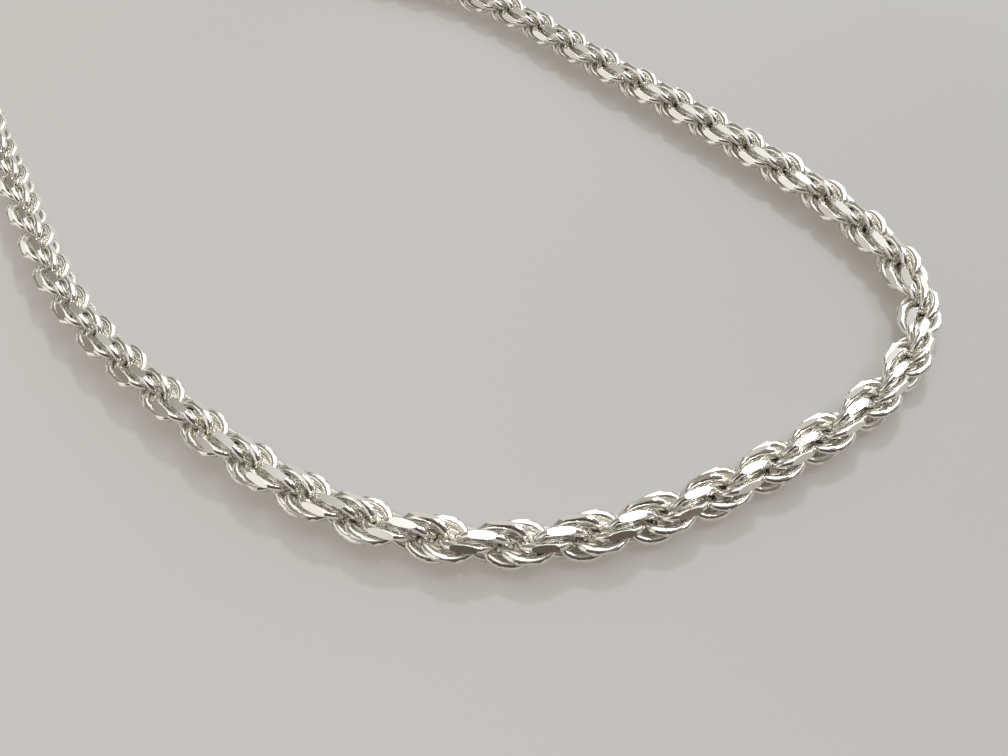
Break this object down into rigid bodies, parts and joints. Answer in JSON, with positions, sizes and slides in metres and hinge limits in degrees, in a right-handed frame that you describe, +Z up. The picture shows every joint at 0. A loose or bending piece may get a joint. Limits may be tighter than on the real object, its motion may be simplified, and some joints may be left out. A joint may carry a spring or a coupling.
{
  "type": "rope chain necklace",
  "caption": "Twisted rope chain necklace with bevelled links, lying flat as a closed loop, with capped ends joined by a plain ring clasp.",
  "frame": {"origin": "middle of the loop's outline, on the surface that the chain lies on", "axes": "+Z up from the surface, +X to the right and +Y away from the front of the loop, as the picture shows it"},
  "size_m": [0.1557, 0.1578, 0.0038],
  "materials": {
    "rope_silver": "bright cut silver links, with flat mirror facets and darker valleys between the strands",
    "polished_silver": "polished silver with fine handling scratches"
  },
  "bodies": {
    "root": {"chain": "rope_silver", "cap_left": "polished_silver", "cap_right": "polished_silver", "clasp": "polished_silver"}
  },
  "joints": []
}
